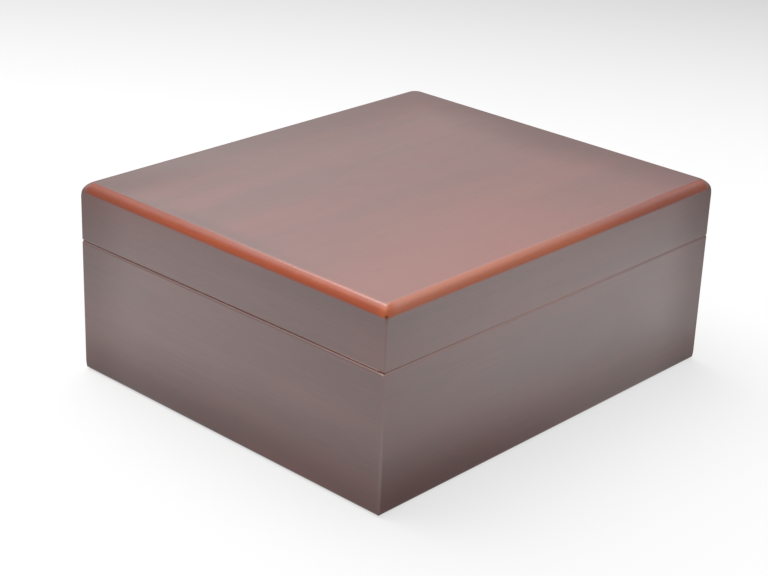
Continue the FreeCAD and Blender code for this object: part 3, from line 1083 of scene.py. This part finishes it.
FELT_CORNER = 3.0 * MM
FELT_EDGE_IN = 0.15 * MM
FELT_EDGE_UP = 0.12 * MM
felt_low, felt_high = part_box("base_felt")
felt_inset = HALF_WIDTH - felt_high.x
felt = ring_piece("base_felt_sheet", [
    point_run(felt_inset + FELT_EDGE_IN, felt_low.z),
    point_run(felt_inset, felt_low.z + FELT_EDGE_UP),
    point_run(felt_inset, felt_high.z),
], even_corner(FELT_CORNER))
fit(felt, "base_felt", "base", felt_material("felt"))


# Hinges, and the pieces that stay inside the joints

HINGE_BEVEL = 0.18 * MM
BEVEL_STEPS = 2
ROUND_PROFILE = 0.5
SAME_POINT = 0.001 * MM
FLAT_ANGLE = math.radians(0.5)
BEVEL_ANGLE = math.radians(28)
SHARP_ANGLE = math.radians(40)
TONGUE_SEED = 21
BOTTOM_SEED = 23
hinge_brass = brass_material("hinge_brass", *HINGE_BRASS)
screw_brass = brass_material("screw_brass", *SCREW_BRASS)
pin_brass = brass_material("pin_brass", *PIN_BRASS)


def bevelled_copy(node, width):
    """Copy of a node's mesh with its sharp edges eased."""
    work = bmesh.new()
    work.from_mesh(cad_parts[node].data)
    bmesh.ops.remove_doubles(work, verts=work.verts, dist=SAME_POINT)
    bmesh.ops.dissolve_limit(work, angle_limit=FLAT_ANGLE, verts=work.verts, edges=work.edges)
    sharp = [one for one in work.edges if one.is_manifold and one.calc_face_angle(0) > BEVEL_ANGLE]
    bmesh.ops.bevel(work, geom=sharp, offset=width, offset_type="OFFSET", segments=BEVEL_STEPS,
                    profile=ROUND_PROFILE, affect="EDGES", clamp_overlap=True)
    mesh = bpy.data.meshes.new(node + "_eased")
    work.to_mesh(mesh)
    work.free()
    mesh.shade_smooth()
    mesh.set_sharp_from_angle(angle=SHARP_ANGLE)
    return show_mesh(node + "_eased", mesh)


for side in ("left", "right"):
    for half in ("base", "lid"):
        node = side + "_hinge_" + half + "_leaf"
        fit(bevelled_copy(node, HINGE_BEVEL), node, half, hinge_brass)
    dress(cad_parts[side + "_hinge_pin"], pin_brass)
for half in ("base", "lid"):
    dress(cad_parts["hinge_" + half + "_screws"], screw_brass)
    node = half + "_mitre_tongues"
    dress(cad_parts[node], core_material(node, "z", TONGUE_SEED))
dress(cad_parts["base_bottom_panel"], core_material("base_bottom_panel", "x", BOTTOM_SEED))


# Floor, light and camera

WHITE = (1, 1, 1, 1)
FLOOR_HALF = 6.0
FLOOR_COLOUR = (0.96, 0.96, 0.96, 1)
KEY_PLACE = (-0.05, 0.66, 1.6)
KEY_AIM = (0, 0, 0.05)
KEY_SIZE = 2.0
KEY_POWER = 30

# White of the floor for the eye, which fades with the depth of the view as a painted falloff of the light,
# and its share of what is seen. There is none of it under the case.
FLOOR_VIEW = (0.77, 0.64)
EYE_WHITE = (0.22, 1.20, 1.0, 0.42)
EYE_LIFT = (-2.5 * MM, -1.5 * MM, 0.0, 0.66)

# White of the floor in reflections, with a painted shadow beside the case, in the nook by its front and
# towards the eye, and a painted pool of light that fades away from the case
MIRROR_LIFT = 0.80
SHADOW_BESIDE = (0.004, 0.066)
SHADOW_BESIDE_LOW = (-0.12, 0.0, 0.38, 0.54)
SHADOW_NOOK = ((0.0, 0.004), (0.045, 0.010))
SHADOW_NOOK_ALONG = (0.04, -0.09, 0.0, 0.32)
SHADOW_BEFORE = (-0.22, -0.05, 0.72, 1.0)
LIGHT_POOL = (0.33, 0.47, 1.0, 0.35)

# Light of the world on the case, and the backdrop seen by the eye and in reflections
WORLD_FILL = 0.42
WORLD_BACK = (0.74, 0.67)
WORLD_LEFT = (-0.67, 0.74)
BACKDROP_FOOT = (0.25, 0.70, 0.80, 0.25)
BACKDROP_RISE = (0.13, 0.46)
BACKDROP_HIGH = 1.0
BACKDROP_SIDES = ((-0.55, 0.15, 0.5, 1.0), (-0.22, -0.42, 0.5, 1.0))


def length_node(tree, first, second):
    squares = times_plus(tree, first, first, times(tree, second, second))
    return math_node(tree, "SQRT", squares)


def distance_along(tree, along_x, along_y, way):
    """How far a place lies along a way over the plan."""
    return times_plus(tree, along_x, way[0], times(tree, along_y, way[1]))


def plan_distance(tree, along_x, along_y):
    """Distance of a floor point outside the case's plan, in metres, and below 0 under it."""
    past_x = minus(tree, math_node(tree, "ABSOLUTE", along_x), HALF_WIDTH)
    past_y = minus(tree, math_node(tree, "ABSOLUTE", along_y), HALF_DEPTH)
    under = smallest(tree, largest(tree, past_x, past_y), 0.0)
    past_x = largest(tree, past_x, 0.0)
    past_y = largest(tree, past_y, 0.0)
    return plus(tree, length_node(tree, past_x, past_y), under)


def seen_rays(tree):
    """1 for a camera ray, and 1 for a glossy or transmission ray."""
    rays = add_node(tree, "ShaderNodeLightPath").outputs
    mirrored = largest(tree, rays["Is Glossy Ray"], rays["Is Transmission Ray"])
    return rays["Is Camera Ray"], mirrored


def make_floor():
    """Plain pale floor, lifted to white for the eye but not under the case. It keeps the shadow, and has
    painted shade in reflections.
    """
    mesh = bpy.data.meshes.new("floor")
    corners = [(FLOOR_HALF * side_x, FLOOR_HALF * side_y, 0) for side_x, side_y in PLAN_CORNERS]
    mesh.from_pydata(corners, [], [(3, 0, 1, 2)])
    floor = show_mesh("floor", mesh)
    material, tree, shader, place = new_material("floor")
    tree.nodes.remove(shader)
    along_x, along_y, _ = split_axes(tree, place)
    distance = plan_distance(tree, along_x, along_y)
    depth = distance_along(tree, along_x, along_y, FLOOR_VIEW)
    camera_ray, mirrored = seen_rays(tree)
    lift = largest(tree, times(tree, camera_ray, ramp(tree, distance, *EYE_LIFT)),
                   times(tree, mirrored, MIRROR_LIFT))
    # Painted shadow and pool of light on the floor, seen only in reflections
    shadow_beside = ramp(tree, distance, *SHADOW_BESIDE, ramp(tree, depth, *SHADOW_BESIDE_LOW), 1.0)
    shadow_nook = hump(tree, minus(tree, -HALF_DEPTH, along_y), SHADOW_NOOK)
    shadow_nook = times(tree, shadow_nook, ramp(tree, along_x, *SHADOW_NOOK_ALONG))
    shadow_beside = times(tree, shadow_beside, minus(tree, 1.0, shadow_nook))
    mirror_painted_light = times(tree, shadow_beside, ramp(tree, depth, *SHADOW_BEFORE))
    mirror_painted_light = times(tree, mirror_painted_light, ramp(tree, length_node(tree, along_x, along_y), *LIGHT_POOL))
    white = mix_value(tree, mirrored, ramp(tree, depth, *EYE_WHITE), mirror_painted_light)
    diffuse = add_node(tree, "ShaderNodeBsdfDiffuse", {"Color": FLOOR_COLOUR})
    glow = add_node(tree, "ShaderNodeEmission", {"Color": WHITE, "Strength": white})
    both = add_node(tree, "ShaderNodeMixShader", {0: lift, 1: diffuse.outputs[0], 2: glow.outputs[0]})
    tree.links.new(both.outputs[0], tree.nodes["Material Output"].inputs["Surface"])
    mesh.materials.append(material)


def turn_to(place, aim):
    """Rotation that faces from a place to an aim."""
    return (Vector(aim) - Vector(place)).to_track_quat("-Z", "Y")


def make_key():
    """Large soft lamp, high up behind the case."""
    lamp = bpy.data.lights.new("key", "AREA")
    lamp.shape = "DISK"
    lamp.size = KEY_SIZE
    lamp.energy = KEY_POWER
    light = bpy.data.objects.new("key", lamp)
    light.location = KEY_PLACE
    light.rotation_euler = turn_to(KEY_PLACE, KEY_AIM).to_euler()
    bpy.context.scene.collection.objects.link(light)


def make_world():
    """Even fill light, and a white backdrop for the eye and for reflections, greyer towards the horizon."""
    world = bpy.data.worlds.new("studio")
    bpy.context.scene.world = world
    world.use_nodes = True
    tree = world.node_tree
    place = add_node(tree, "ShaderNodeTexCoord").outputs["Generated"]
    along_x, along_y, height = split_axes(tree, place)
    backward = distance_along(tree, along_x, along_y, WORLD_BACK)
    leftward = distance_along(tree, along_x, along_y, WORLD_LEFT)
    rising = ramp(tree, height, *BACKDROP_RISE, ramp(tree, backward, *BACKDROP_FOOT), BACKDROP_HIGH)
    sides = largest(tree, *[ramp(tree, leftward, *span) for span in BACKDROP_SIDES])
    camera_ray, mirrored = seen_rays(tree)
    seen = largest(tree, camera_ray, mirrored)
    strength = mix_value(tree, seen, WORLD_FILL, times(tree, rising, sides))
    set_inputs(tree, tree.nodes["Background"], {"Color": WHITE, "Strength": strength})


make_floor()
make_world()
make_key()

camera_data = bpy.data.cameras.new("camera")
camera_data.lens = CAMERA_LENS
camera_data.sensor_width = SENSOR_WIDTH
camera = bpy.data.objects.new("camera", camera_data)
camera.location = CAMERA_PLACE
look = turn_to(CAMERA_PLACE, CAMERA_AIM).to_matrix().to_4x4()
camera.rotation_euler = (look @ Matrix.Rotation(CAMERA_ROLL, 4, "Z")).to_euler()
bpy.context.scene.collection.objects.link(camera)
bpy.context.scene.camera = camera
bpy.context.scene.view_settings.view_transform = "Standard"
